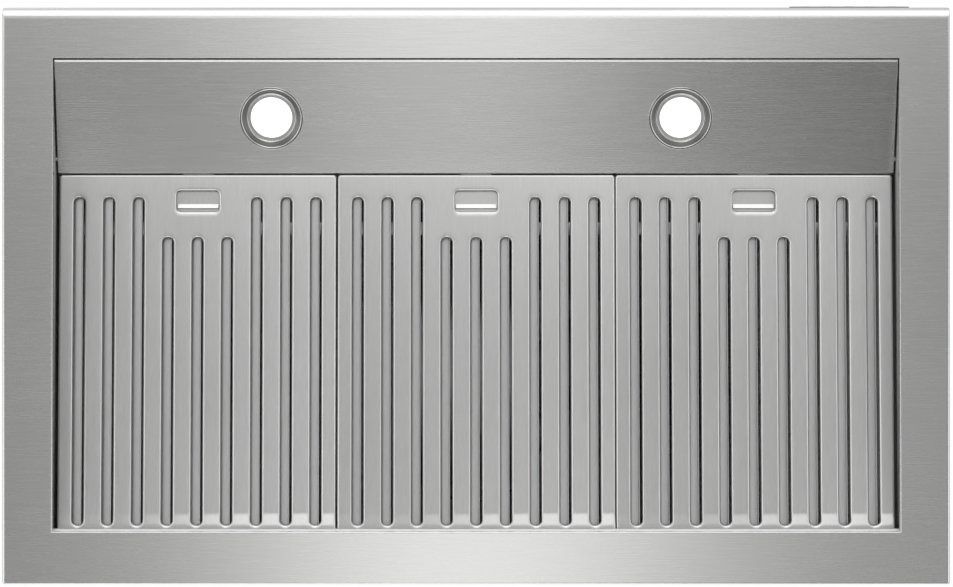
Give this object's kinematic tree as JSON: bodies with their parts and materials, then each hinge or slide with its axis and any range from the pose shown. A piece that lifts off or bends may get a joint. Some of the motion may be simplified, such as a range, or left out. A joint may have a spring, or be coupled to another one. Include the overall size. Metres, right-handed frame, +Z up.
{
  "type": "wall mount range hood",
  "caption": "Pyramid wall hood in brushed steel with a tilted lamp panel, slotted baffle filters on latches, blower and telescoping chimney.",
  "frame": {"origin": "centre of the overall box, in the plane of the underside flange", "axes": "+X to the right as seen from the front, +Y towards the wall, +Z up"},
  "size_m": [0.9144, 0.5596, 0.825],
  "materials": {
    "brushed_shell": "brushed",
    "brushed_underside": "brushed",
    "inner_steel": "satin",
    "bright_steel": "polished",
    "galvanised_steel": "satin",
    "cast_housing": "matt",
    "lamp_lens": "frosted",
    "black_plastic": "satin",
    "white_plastic": "gloss",
    "button_metal": "brushed"
  },
  "bodies": {
    "hood": {"bottom_frame": "brushed_shell", "canopy": "brushed_shell", "back_panel": "galvanised_steel", "top_plate": "galvanised_steel", "side_wall_left": "inner_steel", "side_wall_right": "inner_steel", "rear_ledge": "inner_steel", "ridge_rail": "galvanised_steel", "light_panel": "brushed_underside", "panel_spacers": "bright_steel", "lamp_ring_left": "bright_steel", "lamp_ring_right": "bright_steel", "lamp_lens_left": "lamp_lens", "lamp_lens_right": "lamp_lens", "lamp_body_left": "cast_housing", "lamp_body_right": "cast_housing", "lamp_clips": "bright_steel", "led_driver": "black_plastic", "blower_scroll": "galvanised_steel", "blower_side_left": "galvanised_steel", "blower_side_right": "galvanised_steel", "motor": "cast_housing", "capacitor": "white_plastic", "duct_collar": "black_plastic", "collar_screws": "bright_steel", "damper_pin": "bright_steel", "junction_box": "galvanised_steel", "junction_cover": "galvanised_steel", "cable_gland": "black_plastic", "control_bezel": "black_plastic", "switch_block": "black_plastic", "lower_chimney": "brushed_shell", "chimney_screws": "bright_steel"},
    "filter_left": {"filter_left": "brushed_underside", "baffles_left": "inner_steel", "latch_springs_left": "bright_steel"},
    "latch_left": {"latch_left": "brushed_underside"},
    "filter_middle": {"filter_middle": "brushed_underside", "baffles_middle": "inner_steel", "latch_springs_middle": "bright_steel"},
    "latch_middle": {"latch_middle": "brushed_underside"},
    "filter_right": {"filter_right": "brushed_underside", "baffles_right": "inner_steel", "latch_springs_right": "bright_steel"},
    "latch_right": {"latch_right": "brushed_underside"},
    "button_1": {"button_1": "button_metal"},
    "button_2": {"button_2": "button_metal"},
    "button_3": {"button_3": "button_metal"},
    "button_4": {"button_4": "button_metal"},
    "button_5": {"button_5": "button_metal"},
    "upper_chimney": {"upper_chimney": "brushed_shell", "chimney_bracket": "galvanised_steel"},
    "impeller": {"impeller": "galvanised_steel", "motor_shaft": "bright_steel"},
    "damper_front": {"damper_front": "galvanised_steel"},
    "damper_back": {"damper_back": "galvanised_steel"}
  },
  "joints": [
    {"name": "filter_left_tilt", "type": "hinge", "parent": "hood", "child": "filter_left", "pos_m": [-0.2709, 0.2266, 0.0105], "axis": [1, 0, 0], "range_deg": [0, 75]},
    {"name": "latch_left_slide", "type": "slide", "parent": "filter_left", "child": "latch_left", "axis": [0, 0.9977, -0.0679], "range_m": [0, 0.0033], "stiffness_N_per_m": 600, "springref_m": -0.004, "deforming": ["latch_springs_left"]},
    {"name": "filter_middle_tilt", "type": "hinge", "parent": "hood", "child": "filter_middle", "pos_m": [0.0004, 0.2266, 0.0105], "axis": [1, 0, 0], "range_deg": [0, 75]},
    {"name": "latch_middle_slide", "type": "slide", "parent": "filter_middle", "child": "latch_middle", "axis": [0, 0.9977, -0.0679], "range_m": [0, 0.0033], "stiffness_N_per_m": 600, "springref_m": -0.004, "deforming": ["latch_springs_middle"]},
    {"name": "filter_right_tilt", "type": "hinge", "parent": "hood", "child": "filter_right", "pos_m": [0.2709, 0.2266, 0.0105], "axis": [1, 0, 0], "range_deg": [0, 75]},
    {"name": "latch_right_slide", "type": "slide", "parent": "filter_right", "child": "latch_right", "axis": [0, 0.9977, -0.0679], "range_m": [0, 0.0033], "stiffness_N_per_m": 600, "springref_m": -0.004, "deforming": ["latch_springs_right"]},
    {"name": "button_1_press", "type": "slide", "parent": "hood", "child": "button_1", "axis": [0, 1, 0], "range_m": [0, 0.001], "stiffness_N_per_m": 800, "springref_m": -0.001},
    {"name": "button_2_press", "type": "slide", "parent": "hood", "child": "button_2", "axis": [0, 1, 0], "range_m": [0, 0.001], "stiffness_N_per_m": 800, "springref_m": -0.001},
    {"name": "button_3_press", "type": "slide", "parent": "hood", "child": "button_3", "axis": [0, 1, 0], "range_m": [0, 0.001], "stiffness_N_per_m": 800, "springref_m": -0.001},
    {"name": "button_4_press", "type": "slide", "parent": "hood", "child": "button_4", "axis": [0, 1, 0], "range_m": [0, 0.001], "stiffness_N_per_m": 800, "springref_m": -0.001},
    {"name": "button_5_press", "type": "slide", "parent": "hood", "child": "button_5", "axis": [0, 1, 0], "range_m": [0, 0.001], "stiffness_N_per_m": 800, "springref_m": -0.001},
    {"name": "chimney_slide", "type": "slide", "parent": "hood", "child": "upper_chimney", "axis": [0, 0, 1], "range_m": [-0.11, 0.2]},
    {"name": "impeller_spin", "type": "hinge", "parent": "hood", "child": "impeller", "pos_m": [0, 0.06968, 0.16], "axis": [1, 0, 0], "continuous": true},
    {"name": "damper_front_swing", "type": "hinge", "parent": "hood", "child": "damper_front", "pos_m": [0, 0.1435, 0.291], "axis": [-1, 0, 0], "range_deg": [0, 78]},
    {"name": "damper_back_swing", "type": "hinge", "parent": "hood", "child": "damper_back", "pos_m": [0, 0.1435, 0.291], "axis": [1, 0, 0], "range_deg": [0, 78]}
  ]
}
